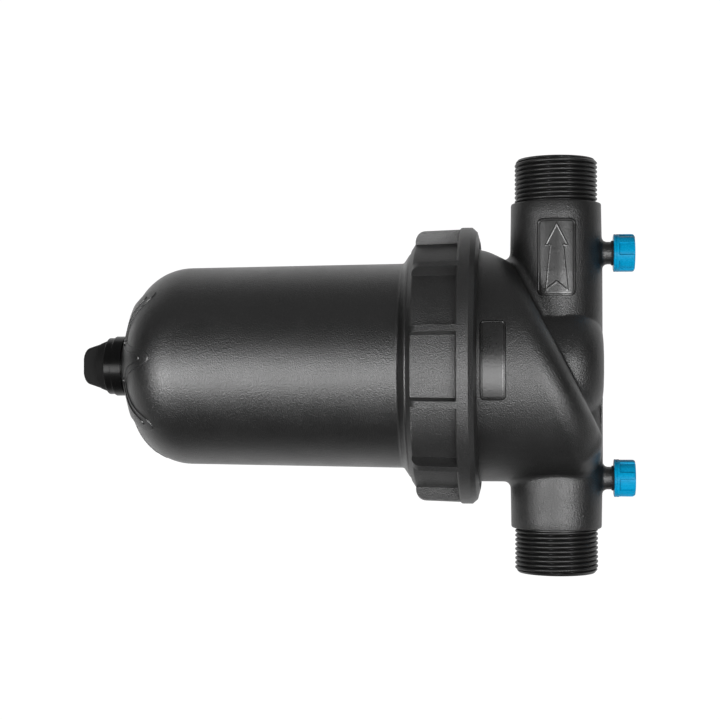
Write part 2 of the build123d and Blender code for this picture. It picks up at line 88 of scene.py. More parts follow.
camera_data = bpy.data.cameras.new("camera")
camera_data.sensor_width = 36.0
camera_data.lens = focal_px * camera_data.sensor_width / picture_px
camera = add_object("camera", camera_data)
camera.matrix_world = Matrix(np.vstack([
    np.column_stack([side, rise, -look, eye]),
    [0, 0, 0, 1],
]).tolist())
bpy.context.scene.camera = camera
bpy.context.scene.view_settings.view_transform = "Standard"
print("camera at", eye.round(3), "with a lens of", round(camera_data.lens, 1), "mm")

# %% [markdown]
# ## The studio
#
# Black plastic shows almost nothing of its own colour. What the eye reads is the room in its
# skin: soft boxes in front, a little below the axis, which draw the long light band down the
# canister, a room that is dim below and lighter overhead, and a white backdrop behind, which
# lights the rims. The backdrop is one surface that runs from the floor up behind the object in
# a soft bend, so no corner shows.
#
# Its material is a mix. The camera sees plain white, with a part of real diffuse light left in,
# so that the floor keeps the object's shadow. Mirror rays see the same paper, but its front
# part is dim, as a floor is that stands in the shade of the boxes.

# %% Helpers that turn grids and faces into a mesh
def face_mesh(name, places, corners, turn_out=True):
    """Make a mesh of the places and the faces' corner numbers.

    A closed mesh is turned right side out: the sum over its faces of the corner product
    a . (b x c) is six times the volume, and it is negative where the faces point inwards.
    """
    if turn_out:
        a, b, c = places[corners[:, 0]], places[corners[:, 1]], places[corners[:, 2]]
        volume = np.einsum("ij,ij->i", a, np.cross(b, c)).sum()
        if corners.shape[1] == 4:
            d = places[corners[:, 3]]
            volume += np.einsum("ij,ij->i", a, np.cross(c, d)).sum()
        if volume < 0:
            corners = corners[:, ::-1]
    loop_starts = np.arange(0, corners.size, corners.shape[1], dtype=np.int32)
    mesh = bpy.data.meshes.new(name)
    mesh.vertices.add(len(places))
    mesh.vertices.foreach_set("co", places.astype(np.float32).reshape(-1))
    mesh.loops.add(corners.size)
    mesh.loops.foreach_set("vertex_index", corners.astype(np.int32).reshape(-1))
    mesh.polygons.add(len(corners))
    mesh.polygons.foreach_set("loop_start", loop_starts)
    mesh.update(calc_edges=True)
    mesh.validate()
    return mesh


def grid_corners(number):
    """The four corner numbers of each face between the rows and columns of a numbered grid.

    Point (i, j) is joined to (i, j+1), (i+1, j+1) and (i+1, j).
    """
    corners = [number[:-1, :-1], number[:-1, 1:], number[1:, 1:], number[1:, :-1]]
    return np.stack(corners, axis=-1).reshape(-1, 4)


def surface_mesh(name, points, wrap=False):
    """Join a grid of points by four-sided faces.

    A wrapped grid also joins its last row and column to its first, which closes a ring.
    """
    rows, columns = points.shape[:2]
    number = np.arange(rows * columns).reshape(rows, columns)
    if wrap:
        number = np.vstack([number, number[:1]])
        number = np.hstack([number, number[:, :1]])
    return face_mesh(name, points.reshape(-1, 3), grid_corners(number))


# %% The backdrop's shape
floor_z, back_y, bend_r, bend_steps = -0.45, 1.9, 0.8, 24
half_width, front_y, top_z, columns = 4.0, -3.0, 4.5, 3
turn = np.linspace(0, np.pi / 2, bend_steps)
line_y = np.concatenate([[front_y], back_y - bend_r + bend_r * np.sin(turn), [back_y]])
line_z = np.concatenate([[floor_z], floor_z + bend_r - bend_r * np.cos(turn), [top_z]])
line_x = np.linspace(-half_width, half_width, columns)
sweep = np.stack(np.broadcast_arrays(line_x[:, None], line_y, line_z), axis=-1)
backdrop_mesh = surface_mesh("backdrop", sweep[::-1])
backdrop_mesh.shade_smooth()
backdrop = add_object("backdrop", backdrop_mesh)
print("backdrop", 2 * half_width, "m wide, floor at", floor_z)


# %% Helpers that add shader nodes
def add_node(tree, kind, inputs, **settings):
    """Add a node. Its settings are made first, and then its inputs, by title or by number.

    An input that is given a socket is linked to it, and any other value is set on it.
    """
    node = tree.nodes.new(kind)
    for title, value in settings.items():
        setattr(node, title, value)
    for title, value in inputs.items():
        if isinstance(value, bpy.types.NodeSocket):
            tree.links.new(value, node.inputs[title])
        else:
            node.inputs[title].default_value = value
    return node


def calculate(tree, operation, *values, clamp=False):
    """The result of a Math node. Each of its values is a socket or a number."""
    settings = {"operation": operation, "use_clamp": clamp}
    return add_node(tree, "ShaderNodeMath", dict(enumerate(values)), **settings).outputs[0]


def fit_range(tree, value, to_min, to_max, from_min=0.0, from_max=1.0, smooth=False):
    """Carry a value from one range over to another, and hold it at that range's ends."""
    ranges = {"From Min": from_min, "From Max": from_max, "To Min": to_min, "To Max": to_max}
    kind = "SMOOTHSTEP" if smooth else "LINEAR"
    node = add_node(tree, "ShaderNodeMapRange", {"Value": value, **ranges}, interpolation_type=kind)
    return node.outputs["Result"]


def object_place(tree, axis=None):
    """The place on the object's own mesh, or only its X, Y or Z."""
    place = tree.nodes.new("ShaderNodeTexCoord").outputs["Object"]
    if axis is None:
        return place
    return add_node(tree, "ShaderNodeSeparateXYZ", {0: place}).outputs[axis]


# %% The backdrop's paper
paper_colour = (0.85, 0.85, 0.85, 1)
white_share, camera_white = 0.8, 1.2
shade_level, shade_to_y = 0.02, -0.02
bright_level, bright_from_y = 0.95, 0.45

paper = bpy.data.materials.new("backdrop_paper")
paper.use_nodes = True
tree = paper.node_tree
tree.nodes.clear()
ways = tree.nodes.new("ShaderNodeLightPath").outputs
mirrored = fit_range(tree, object_place(tree, "Y"), shade_level, bright_level,
                     shade_to_y, bright_from_y, smooth=True)
strength = fit_range(tree, ways["Is Camera Ray"], mirrored, camera_white)
seen = calculate(tree, "MAXIMUM", ways["Is Camera Ray"], ways["Is Glossy Ray"])
seen = calculate(tree, "MAXIMUM", seen, ways["Is Transmission Ray"])
share = calculate(tree, "MULTIPLY", seen, white_share)
lit = add_node(tree, "ShaderNodeBsdfDiffuse", {"Color": paper_colour})
white = add_node(tree, "ShaderNodeEmission", {"Strength": strength})
mix = add_node(tree, "ShaderNodeMixShader", {0: share, 1: lit.outputs[0], 2: white.outputs[0]})
add_node(tree, "ShaderNodeOutputMaterial", {"Surface": mix.outputs[0]})
backdrop_mesh.materials.append(paper)
print("paper: plain white makes", white_share, "of what the camera sees of it")

# %% [markdown]
# The world is the room around. Its level rises softly with the height that a ray points at.
# The background's own colour stays at its usual light grey of 0.8, so the camera is shown a
# level above 1, which makes it white beyond the backdrop's edges too.

# %% The room around, as the world
room_low, room_high, room_white = 0.01, 0.32, 1.3
low_until, high_from = -0.3, 1.1

world = bpy.data.worlds.new("room")
bpy.context.scene.world = world
world.use_nodes = True
tree = world.node_tree
tree.nodes.clear()
way = tree.nodes.new("ShaderNodeTexCoord").outputs["Generated"]
upward = add_node(tree, "ShaderNodeSeparateXYZ", {0: way}).outputs["Z"]
ramp = fit_range(tree, upward, room_low, room_high, low_until, high_from, smooth=True)
by_camera = tree.nodes.new("ShaderNodeLightPath").outputs["Is Camera Ray"]
level = fit_range(tree, by_camera, ramp, room_white)
room = add_node(tree, "ShaderNodeBackground", {"Strength": level})
add_node(tree, "ShaderNodeOutputWorld", {"Surface": room.outputs[0]})
print("room level", room_low, "below and", room_high, "overhead")


# %% Soft boxes
def soft_box(name, place, aim, width, height, radiance):
    """A rectangle of even light. Its power is radiance x pi x area."""
    data = bpy.data.lights.new(name, "AREA")
    data.shape = "RECTANGLE"
    data.size, data.size_y = width, height
    data.energy = radiance * np.pi * width * height
    lamp = add_object(name, data)
    facing = (Vector(aim) - Vector(place)).to_track_quat("-Z", "Y").to_matrix().to_4x4()
    lamp.matrix_world = Matrix.Translation(place) @ facing
    lamp.visible_camera = False
    print(name, "power", round(data.energy, 2), "W")


box_aim = np.array([-0.05, 0, axis_z])
box_distance, box_drop, box_height = 1.3, np.radians(10), 0.56
for name, turn_deg, width, radiance in (
    ("left_box", -37, 0.62, 10.4),
    ("middle_box", -7, 0.50, 5.0),
    ("right_box", 26, 0.66, 12.5),
):
    turn = np.radians(turn_deg)
    level_way = np.array([np.sin(turn), -np.cos(turn), 0.0]) * np.cos(box_drop)
    way = level_way - np.array([0.0, 0.0, np.sin(box_drop)])
    soft_box(name, box_aim + box_distance * way, box_aim, width, box_height, radiance)

# %% [markdown]
# ## Shared effects
#
# Moulded plastic is never even. Its skin is etched with a fine grain so that it hides flow
# marks, and its gloss drifts from place to place. Its sharp edges get a painted colour too: a
# painted highlight, lighter, on the dark plastics and painted shade, darker, on the caps. These
# effects are wanted in most materials here, so each is made once as a node group with named
# inputs and outputs, and each material sets its own values.

# %% A helper that starts a node group
def node_group(name, inputs, outputs):
    """Start a group. Inputs are numbers, each with its usual value, and outputs have a kind.

    Besides the group, what it is given and what it has to put out come back as sockets.
    """
    group = bpy.data.node_groups.new(name, "ShaderNodeTree")
    for title, value in inputs.items():
        socket = group.interface.new_socket(
            name=title, in_out="INPUT", socket_type="NodeSocketFloat",
        )
        socket.default_value = value
    for title, kind in outputs.items():
        group.interface.new_socket(name=title, in_out="OUTPUT", socket_type=kind)
    given = group.nodes.new("NodeGroupInput").outputs
    result = group.nodes.new("NodeGroupOutput").inputs
    return group, given, result


# %% Grain: a fine uneven skin, as a normal, and a mask of its high and low spots
cell_scale, cell_share = 0.8, 0.7
grain_group, given, result = node_group(
    "moulded_grain",
    {"Size": 0.6 * mm, "Depth": 0.04 * mm, "Strength": 1.0},
    {"Normal": "NodeSocketVector", "Mask": "NodeSocketFloat"},
)
tree = grain_group
place = object_place(tree)
scale = calculate(tree, "DIVIDE", 1.0, given["Size"])
fine = add_node(tree, "ShaderNodeTexNoise", {
    "Vector": place, "Scale": scale, "Detail": 2.0, "Roughness": 0.6,
})
cells = add_node(tree, "ShaderNodeTexVoronoi", {
    "Vector": place, "Scale": calculate(tree, "MULTIPLY", scale, cell_scale), "Smoothness": 0.6,
}, feature="SMOOTH_F1")
height = calculate(tree, "MULTIPLY_ADD", cells.outputs["Distance"], cell_share, fine.outputs["Fac"])
bump = add_node(tree, "ShaderNodeBump", {
    "Strength": given["Strength"], "Distance": given["Depth"], "Height": height,
})
tree.links.new(bump.outputs["Normal"], result["Normal"])
tree.links.new(fine.outputs["Fac"], result["Mask"])

# %% Handling patches: large soft clouds that drift between a low and a high value
noise_low, noise_high = 0.3, 0.7
patch_group, given, result = node_group(
    "handling_patches",
    {"Size": 20 * mm, "Low": 0.0, "High": 1.0},
    {"Value": "NodeSocketFloat"},
)
tree = patch_group
cloud = add_node(tree, "ShaderNodeTexNoise", {
    "Vector": object_place(tree), "Scale": calculate(tree, "DIVIDE", 1.0, given["Size"]),
    "Detail": 4.0, "Roughness": 0.55,
})
drift = fit_range(tree, cloud.outputs["Fac"], given["Low"], given["High"], noise_low, noise_high)
tree.links.new(drift, result["Value"])

# %% Painted edges: a mask of the sharp edges, outer and inner ones, broken up by a noise, where a painted highlight or painted shade goes
edge_gain, broken_scale = 4.0, 160.0
edge_paint_group, given, result = node_group(
    "painted_edges",
    {"Width": 0.6 * mm, "Amount": 1.0},
    {"Mask": "NodeSocketFloat"},
)
tree = edge_paint_group
soft = add_node(tree, "ShaderNodeBevel", {"Radius": given["Width"]}, samples=4)
flat = tree.nodes.new("ShaderNodeNewGeometry")
likeness = add_node(tree, "ShaderNodeVectorMath", {
    0: soft.outputs["Normal"], 1: flat.outputs["Normal"],
}, operation="DOT_PRODUCT")
broken = add_node(tree, "ShaderNodeTexNoise", {
    "Vector": object_place(tree), "Scale": broken_scale, "Detail": 4.0,
})
edge = calculate(tree, "SUBTRACT", 1.0, likeness.outputs["Value"])
edge = calculate(tree, "MULTIPLY", edge, edge_gain, clamp=True)
edge = calculate(tree, "MULTIPLY", edge, broken.outputs["Fac"])
edge = calculate(tree, "MULTIPLY", edge, given["Amount"], clamp=True)
tree.links.new(edge, result["Mask"])
print("shared effects:", [group.name for group in bpy.data.node_groups])

# %% [markdown]
# ## The black plastics
#
# The housing, nut and canister are black plastic with a satin skin. Black here is a very dark
# grey of about a quarter of a percent, and the skin's gloss does the rest. One function makes
# them all, because they differ only in gloss, grain and a painted highlight along their sharp
# edges. The grain does two things: it tilts the surface a little, and it makes the colour
# lighter and darker from spot to spot, so that it still shows where a spot is smaller than a
# pixel.

# %% A function for moulded plastic
patch_size, patch_gloss, grain_gloss = 18 * mm, 0.04, 0.02
speckle_low, speckle_high = 0.35, 0.65
# The width of the painted edge band, and how much lighter the usual painted highlight is than the
# colour.
painted_edge_width = 0.5 * mm
edge_highlight_gain, edge_highlight_lift = 1.9, 0.012


def place_group(tree, group, **values):
    """Put a shared effect into a material and set its own values."""
    return add_node(tree, "ShaderNodeGroup", values, node_tree=group)


def moulded_plastic(name, colour, roughness, grain_size, grain_depth, specular=0.5,
                    painted_edge_colour=None, painted_edge_amount=0.5, speckle=0.1):
    """Satin plastic.

    The roughness drifts in soft patches, by patch_gloss up and down, and changes from grain to
    grain, by grain_gloss up and down. Along sharp edges the colour goes over to an edge colour:
    a painted highlight, lighter, on black and on most colours, and painted shade, darker, on a
    bright cap. The speckle is the share by which the colour goes up and down with the grain.
    """
    material = bpy.data.materials.new(name)
    material.use_nodes = True
    tree = material.node_tree
    shader = tree.nodes["Principled BSDF"]
    shader.inputs["Specular IOR Level"].default_value = specular
    grain = place_group(tree, grain_group, Size=grain_size, Depth=grain_depth)
    patches = place_group(tree, patch_group, Size=patch_size,
                          Low=roughness - patch_gloss, High=roughness + patch_gloss)
    # Painted edges: a painted highlight or painted shade along the sharp edges.
    edge_paint_mask = place_group(tree, edge_paint_group, Width=painted_edge_width, Amount=painted_edge_amount)

    mask = grain.outputs["Mask"]
    # Unless given, the edge colour is lighter than the colour: a painted highlight.
    painted_edge_colour = painted_edge_colour or tuple(min(1.0, edge_highlight_gain * c + edge_highlight_lift) for c in colour)
    shade = add_node(tree, "ShaderNodeMix", {
        "A": (*colour, 1), "B": (*painted_edge_colour, 1), "Factor": edge_paint_mask.outputs["Mask"],
    }, data_type="RGBA")
    grade = fit_range(tree, mask, 1 - speckle, 1 + speckle, speckle_low, speckle_high)
    speckled = add_node(tree, "ShaderNodeMix", {
        "A": shade.outputs["Result"], "B": grade, "Factor": 1.0,
    }, data_type="RGBA", blend_type="MULTIPLY")
    glint = fit_range(tree, mask, -grain_gloss, grain_gloss, noise_low, noise_high)
    rough = calculate(tree, "ADD", patches.outputs["Value"], glint, clamp=True)
    tree.links.new(speckled.outputs["Result"], shader.inputs["Base Color"])
    tree.links.new(rough, shader.inputs["Roughness"])
    tree.links.new(grain.outputs["Normal"], shader.inputs["Normal"])
    return material


# %% The black plastics
# Their lighter edge colours are a painted highlight along the sharp edges.
black_speckle = 0.95
body_plastic = moulded_plastic(
    "body_plastic", (0.0025, 0.0025, 0.0025), 0.40, grain_size=0.5 * mm, grain_depth=0.15 * mm,
    specular=0.8, speckle=black_speckle,
)
nut_plastic = moulded_plastic(
    "nut_plastic", (0.003, 0.003, 0.003), 0.42, grain_size=0.5 * mm, grain_depth=0.17 * mm,
    specular=0.95, painted_edge_colour=(0.03, 0.03, 0.03), painted_edge_amount=0.8, speckle=black_speckle,
)
canister_plastic = moulded_plastic(
    "canister_plastic", (0.0025, 0.0025, 0.0025), 0.325, grain_size=0.5 * mm, grain_depth=0.14 * mm,
    specular=1.0, painted_edge_colour=(0.05, 0.05, 0.05), painted_edge_amount=0.9, speckle=black_speckle,
)
plate_plastic = moulded_plastic(
    "plate_plastic", (0.005, 0.005, 0.0049), 0.30, grain_size=1.2 * mm, grain_depth=0.03 * mm,
    specular=0.9,
)
thread_plastic = moulded_plastic(
    "thread_plastic", (0.004, 0.004, 0.0039), 0.40, grain_size=0.8 * mm, grain_depth=0.02 * mm,
    specular=0.6,
)
black_plastics = (body_plastic, nut_plastic, canister_plastic, plate_plastic, thread_plastic)
print("black plastics:", [plastic.name for plastic in black_plastics])

# %% [markdown]
# ## Caps, seals, cartridge and steel
#
# The port caps are a bright sky-blue plastic with a soft gloss, and painted shade makes their sharp
# edges darker.
# The drain plug has a polished head and a matte grip, so its roughness changes at one place
# along the filter, and its grain ends there. Seals are dull black rubber. The inner parts
# aren't in the photograph: they are given the dark grey, red and plain stainless steel that
# such cartridges often have.

# %% Caps, rubber and the inner plastics
# The caps' darker edge colour is painted shade along their edges and in the panels' creases.
cap_plastic = moulded_plastic(
    "cap_plastic", (0.0001, 0.185, 0.342), 0.28, grain_size=0.8 * mm, grain_depth=0.01 * mm,
    specular=0.1, painted_edge_colour=(0.0001, 0.07, 0.14), painted_edge_amount=1.0,
)
# The rubber and the inner plastics have lighter edges: a painted highlight.
rubber = moulded_plastic(
    "seal_rubber", (0.008, 0.008, 0.008), 0.7, grain_size=0.4 * mm, grain_depth=0.01 * mm,
    specular=0.35,
)
slip_plastic = moulded_plastic(
    "slip_plastic", (0.72, 0.71, 0.67), 0.4, grain_size=0.8 * mm, grain_depth=0.01 * mm,
    painted_edge_colour=(0.8, 0.79, 0.76),
)
grey_plastic = moulded_plastic(
    "grey_plastic", (0.10, 0.11, 0.12), 0.42, grain_size=0.7 * mm, grain_depth=0.02 * mm,
)
disc_plastic = moulded_plastic(
    "disc_plastic", (0.42, 0.03, 0.025), 0.38, grain_size=0.6 * mm, grain_depth=0.01 * mm,
)
other_finishes = (cap_plastic, rubber, slip_plastic, grey_plastic, disc_plastic)
print("other finishes:", [finish.name for finish in other_finishes])

# %% The drain plug: a matte grip and, from one place on, a polished head without grain
head_from_x, head_gloss = -233.2 * mm, 0.24
# Its lighter edges are a painted highlight, as on the other black plastics.
plug_plastic = moulded_plastic(
    "plug_plastic", (0.002, 0.002, 0.002), 0.75, grain_size=0.6 * mm, grain_depth=0.04 * mm,
    specular=0.22,
)
tree = plug_plastic.node_tree
shader = tree.nodes["Principled BSDF"]
on_head = calculate(tree, "GREATER_THAN", object_place(tree, "X"), head_from_x)
matte = shader.inputs["Roughness"].links[0].from_socket
tree.links.new(fit_range(tree, on_head, matte, head_gloss), shader.inputs["Roughness"])
grain = next(n for n in tree.nodes if n.type == "GROUP" and n.node_tree == grain_group)
tree.links.new(calculate(tree, "SUBTRACT", 1.0, on_head), grain.inputs["Strength"])
print("the plug is polished from x =", head_from_x)

# %% The steel of the tie rod
steel_smooth, steel_dull = 0.22, 0.38
steel = bpy.data.materials.new("rod_steel")
steel.use_nodes = True
tree = steel.node_tree
shader = tree.nodes["Principled BSDF"]
shader.inputs["Metallic"].default_value = 1.0
shader.inputs["Base Color"].default_value = (0.56, 0.55, 0.53, 1)
brushing = place_group(tree, grain_group, Size=0.4 * mm, Depth=0.006 * mm)
gloss = place_group(tree, patch_group, Size=6 * mm, Low=steel_smooth, High=steel_dull)
tree.links.new(brushing.outputs["Normal"], shader.inputs["Normal"])
tree.links.new(gloss.outputs["Value"], shader.inputs["Roughness"])
print("steel's roughness from", steel_smooth, "to", steel_dull)

# %% Dress the CAD nodes
by_slot = {
    "black_body": body_plastic,
    "black_nut": nut_plastic,
    "black_canister": canister_plastic,
    "black_plug": plug_plastic,
    "blue_cap": cap_plastic,
    "white_slip_ring": slip_plastic,
    "grey_cartridge": grey_plastic,
    "red_discs": disc_plastic,
    "black_rubber": rubber,
    "steel_rod": steel,
}
for part in frame["record"]["subparts"]:
    nodes[part["node"]].material_slots[0].material = by_slot[part["material_slot"]]
print("materials:", sorted(by_slot))


# %% A helper that finishes a piece
def add_piece(mesh, body, material, stands_for=None, sharp_deg=35):
    """Show a finished mesh as a piece: smooth, with sharp edges past the angle, on its body."""
    mesh.shade_smooth()
    mesh.set_sharp_from_angle(angle=np.radians(sharp_deg))
    mesh.materials.clear()
    mesh.materials.append(material)
    piece = add_object(mesh.name, mesh)
    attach(piece, body)
    if stands_for:
        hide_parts(stands_for)
    print(mesh.name, "has", len(mesh.polygons), "faces")


# %% [markdown]
# ## Screw threads
#
# Both pipe ends carry a male pipe thread, 41.9 mm over the crests with a crest every 2.309 mm.
# A thread could be cut with a swept tool, but that makes thousands of uneven faces. Here it is
# one closed surface: the wall's radius is a function of height and of the angle round the
# pipe, so each crest climbs by one pitch in a turn. The ends are worked into the same function
# as limits on the radius, so the first crest tapers off by itself.

# %% The thread as a function
turn_steps, steps_per_pitch = 192, 12
crest_power, start_dip = 2.2, 0.2 * mm
bore_shares = np.array([1.0, 0.4, 0.0])


def thread_ring(name, start, end, crest_r, depth, pitch, bore_r, crest_at, along,
                lead=1.9 * mm, relief=0.6 * mm):
    """A threaded ring from start to end along an axis.

    The phase at height h and angle t is (h - crest_at) / pitch - (t - pi) / (2 pi), and a is
    twice its distance from a whole number. The radius is the root radius plus the depth times
    1 - a^2.2, a round crest with a narrow valley. It is limited near the start by a cone that
    climbs over the lead from a little below the root, and near the end by the root over the
    relief. A loop of heights goes out along the teeth and back along the bore, so the ring is
    closed.
    """
    length = abs(end - start)
    steps = int(np.ceil(length / pitch * steps_per_pitch))
    share = np.linspace(0, 1, steps + 1)[None, :]
    angle = np.linspace(0, 2 * np.pi, turn_steps, endpoint=False)[:, None]
    height = start + (end - start) * share
    from_start = length * share
    phase = (height - crest_at) / pitch - (angle - np.pi) / (2 * np.pi)
    away = 2 * np.abs(phase - np.round(phase))
    root_r = crest_r - depth
    radius = root_r + depth * (1 - away**crest_power)
    radius = np.minimum(radius, root_r - start_dip + (depth + start_dip) * from_start / lead)
    radius = np.where(length - from_start < relief, root_r, radius)
    bore_height = np.tile(start + (end - start) * bore_shares, (turn_steps, 1))
    height = np.hstack([np.broadcast_to(height, radius.shape), bore_height])
    radius = np.hstack([radius, np.full(bore_height.shape, bore_r)])
    return surface_mesh(name, along(height, radius, angle), wrap=True)


def up_the_pipe(height, radius, angle):
    """Height, radius and angle become places round the pipe's own axis."""
    return np.stack([radius * np.cos(angle), radius * np.sin(angle), height], axis=-1)


def along_the_filter(height, radius, angle):
    """Height, radius and angle become places round the filter's main axis."""
    return np.stack([height, radius * np.cos(angle), axis_z + radius * np.sin(angle)], axis=-1)


# %% Both pipe ends
pipe_length, thread_length = 210 * mm, 22.5 * mm
pipe_pitch = 2.309 * mm
pipe_crest_r, pipe_depth, pipe_bore_r = 20.955 * mm, 1.479 * mm, 17.02 * mm
inlet_mesh = thread_ring(
    "inlet_thread", 0.0, thread_length, pipe_crest_r, pipe_depth, pipe_pitch, pipe_bore_r,
    crest_at=11.5 * mm, along=up_the_pipe,
)
outlet_mesh = thread_ring(
    "outlet_thread", pipe_length, pipe_length - thread_length, pipe_crest_r, pipe_depth, pipe_pitch,
    pipe_bore_r, crest_at=197.85 * mm, along=up_the_pipe,
)
add_piece(inlet_mesh, "housing", thread_plastic)
add_piece(outlet_mesh, "housing", thread_plastic)

# %% [markdown]
# ## The neck's thread and the discs
#
# Under the ring nut the neck carries a coarse thread, one crest every 6 mm, so that the nut
# comes off in four turns. Inside the canister, the CAD model shows the filter discs as ten
# bundles. The real stack is made of thin moulded rings with a small bevel on the rim, so the
# bundles are replaced by as many rings as the stack's length holds. They are one mesh: the
# same ring outline is repeated along the axis.

# %% The neck's thread
neck_start_x, neck_end_x = -65.0 * mm, -38.1 * mm
neck_crest_r, neck_depth, neck_bore_r, neck_pitch = 61.45 * mm, 1.7 * mm, 58.8 * mm, 6.0 * mm
neck_mesh = thread_ring(
    "neck_thread", neck_start_x, neck_end_x, neck_crest_r, neck_depth, neck_pitch, neck_bore_r,
    crest_at=-60.0 * mm, along=along_the_filter, lead=3.0 * mm, relief=1.2 * mm,
)
add_piece(neck_mesh, "housing", body_plastic)


# %% The stack of discs
def ring_stack(name, start, pitch, count, outline, steps):
    """Closed rings along the filter's axis: ring k is the outline moved by k pitches.

    The outline is a closed loop of (x, radius) places, turned round the axis in steps.
    """
    angle = np.linspace(0, 2 * np.pi, steps, endpoint=False)
    height = start + pitch * np.arange(count)[:, None, None] + outline[None, :, 0, None]
    radius = outline[None, :, 1, None]
    places = along_the_filter(*np.broadcast_arrays(height, radius, angle))
    number = np.arange(count * len(outline) * steps).reshape(count, len(outline), steps)
    down, right = np.roll(number, -1, axis=1), np.roll(number, -1, axis=2)
    corners = np.stack([number, right, np.roll(down, -1, axis=2), down], axis=-1)
    return face_mesh(name, places.reshape(-1, 3), corners.reshape(-1, 4))


stack_start, stack_length, disc_count, disc_steps = -41.3 * mm, 137.0 * mm, 85, 60
disc_pitch = stack_length / disc_count
disc_outline = mm * np.array([
    [0.0, 28.0], [0.0, 37.7], [-0.25, 38.0], [-1.33, 38.0], [-1.58, 37.7], [-1.58, 28.0],
])
stack_mesh = ring_stack(
    "filter_discs", stack_start, -disc_pitch, disc_count, disc_outline, disc_steps,
)
add_piece(stack_mesh, "cartridge", disc_plastic, stands_for="disc_stack")
print("one disc every", round(disc_pitch / mm, 3), "mm")

# %% [markdown]
# ## The test port caps
#
# Each cap is a small moulded screw cap. A plain ring runs round its open end, and six ribs run
# from there to the closed end, with sunken panels between them for the fingers. It could be
# cut from a cylinder with six tools. Here it is one closed surface whose radius is a function
# of the place along the axis and of the angle, so the panels' walls and the end's round meet
# without a seam.

# %% A closed turned surface with poles
def closed_turning(name, x, radius, angle, height):
    """Ring i lies at x[i] and has the radius radius[i, j] at angle j.

    The first and last ring are closed by a fan of triangles to a point on the axis.
    """
    rings, steps = radius.shape
    places = np.stack([
        np.broadcast_to(x[:, None], radius.shape),
        radius * np.cos(angle),
        height + radius * np.sin(angle),
    ], axis=-1).reshape(-1, 3)
    poles = np.array([[x[0], 0, height], [x[-1], 0, height]])
    number = np.arange(rings * steps).reshape(rings, steps)
    right = np.roll(number, -1, axis=1)
    first, last = np.full(steps, rings * steps), np.full(steps, rings * steps + 1)
    corners = np.vstack([
        np.stack([number[:-1], right[:-1], right[1:]], axis=-1).reshape(-1, 3),
        np.stack([number[:-1], right[1:], number[1:]], axis=-1).reshape(-1, 3),
        np.stack([first, right[0], number[0]], axis=-1),
        np.stack([last, number[-1], right[-1]], axis=-1),
    ])
    return face_mesh(name, np.vstack([places, poles]), corners)


# %% Both caps
cap_outline = mm * np.array([
    [35.84, 4.92], [28.9, 4.92], [28.9, 9.1], [29.03, 9.45], [29.25, 9.6], [29.9, 9.6],
    [30.02, 9.46], [30.24, 9.46], [30.36, 9.6], [31.4, 9.6], [31.55, 9.6], [31.7, 9.6],
    [31.85, 9.6], [34.0, 9.6], [36.5, 9.6], [38.1, 9.6], [38.5, 9.56], [38.9, 9.42],
    [39.2, 9.2], [39.42, 8.9], [39.55, 8.55], [39.6, 8.1],
])
cap_r, outside_from_r = 9.6 * mm, 8 * mm
panel_count, panel_start, panel_wall, panel_depth = 6, 31.5 * mm, 0.35 * mm, 0.9 * mm
panel_half_deg, panel_wall_deg = 19.3, 1.3
panel_steps = np.array([-30, -26, -22, -20.4, -19.8, -19.0, -18.2, -17.4, -12, -6, 0])
panel_steps = np.concatenate([panel_steps, -panel_steps[-2:0:-1]])
port_offset = 57.2 * mm


def port_cap(name, height, turn_deg):
    """The radius is the outline's, less the panel depth where both shares are one.

    One share rises along the axis from the panels' start, and one falls with the angle from a
    panel's middle, each over a narrow wall.
    """
    off_middle = np.tile(np.abs(panel_steps), panel_count)
    middles = 360 / panel_count * np.arange(panel_count)
    angle = np.radians(turn_deg + np.add.outer(middles, panel_steps).reshape(-1))
    x, outline_r = cap_outline[:, 0], cap_outline[:, 1]
    along = np.clip((x - panel_start) / panel_wall, 0, 1) * (outline_r > outside_from_r)
    across = np.clip((panel_half_deg + panel_wall_deg / 2 - off_middle) / panel_wall_deg, 0, 1)
    radius = np.minimum(outline_r[:, None], cap_r - panel_depth * along[:, None] * across)
    return closed_turning(name, x, radius, angle, height)


for side, height, turn_deg in (
    ("outlet", axis_z + port_offset, 170.0),
    ("inlet", axis_z - port_offset, 200.0),
):
    cap_mesh = port_cap(side + "_cap_ribbed", height, turn_deg)
    node = side + "_port_cap"
    add_piece(cap_mesh, node, cap_plastic, stands_for=node, sharp_deg=25)

# %% [markdown]
# ## The housing's skin
#
# The CAD housing has plain cylinders where the threads go, and it has no recesses for the two
# plates on its front. Its mesh isn't changed: a welded copy stands for it. On the copy, the
# spigots and the neck are drawn in under their threads by moving the points of those
# cylinders, the pipe's two mouths go in a little so that only the threads' ends show there,
# and the plates' pockets are cut with two closed cutters.

# %% Weld a copy of a CAD node
weld_grid = 0.0001 * mm


def welded(node):
    """The places and triangles of a CAD node, with corners that share a place joined.

    Places are rounded to a ten-thousandth of a millimetre, and equal ones become one.
    """
    source = nodes[node].data
    places = np.zeros(len(source.vertices) * 3)
    source.vertices.foreach_get("co", places)
    source.calc_loop_triangles()
    triangles = np.zeros(len(source.loop_triangles) * 3, dtype=np.int64)
    source.loop_triangles.foreach_get("vertices", triangles)
    places, triangles = places.reshape(-1, 3), triangles.reshape(-1, 3)
    key = np.round(places / weld_grid).astype(np.int64)
    _, first, group = np.unique(key, axis=0, return_index=True, return_inverse=True)
    places, triangles = places[first], group.reshape(-1)[triangles]
    whole = (triangles[:, 0] != triangles[:, 1]) & (triangles[:, 1] != triangles[:, 2])
    whole &= triangles[:, 2] != triangles[:, 0]
    return places, triangles[whole]


housing_places, housing_triangles = welded("housing")
print("housing:", len(housing_places), "points and", len(housing_triangles), "triangles")


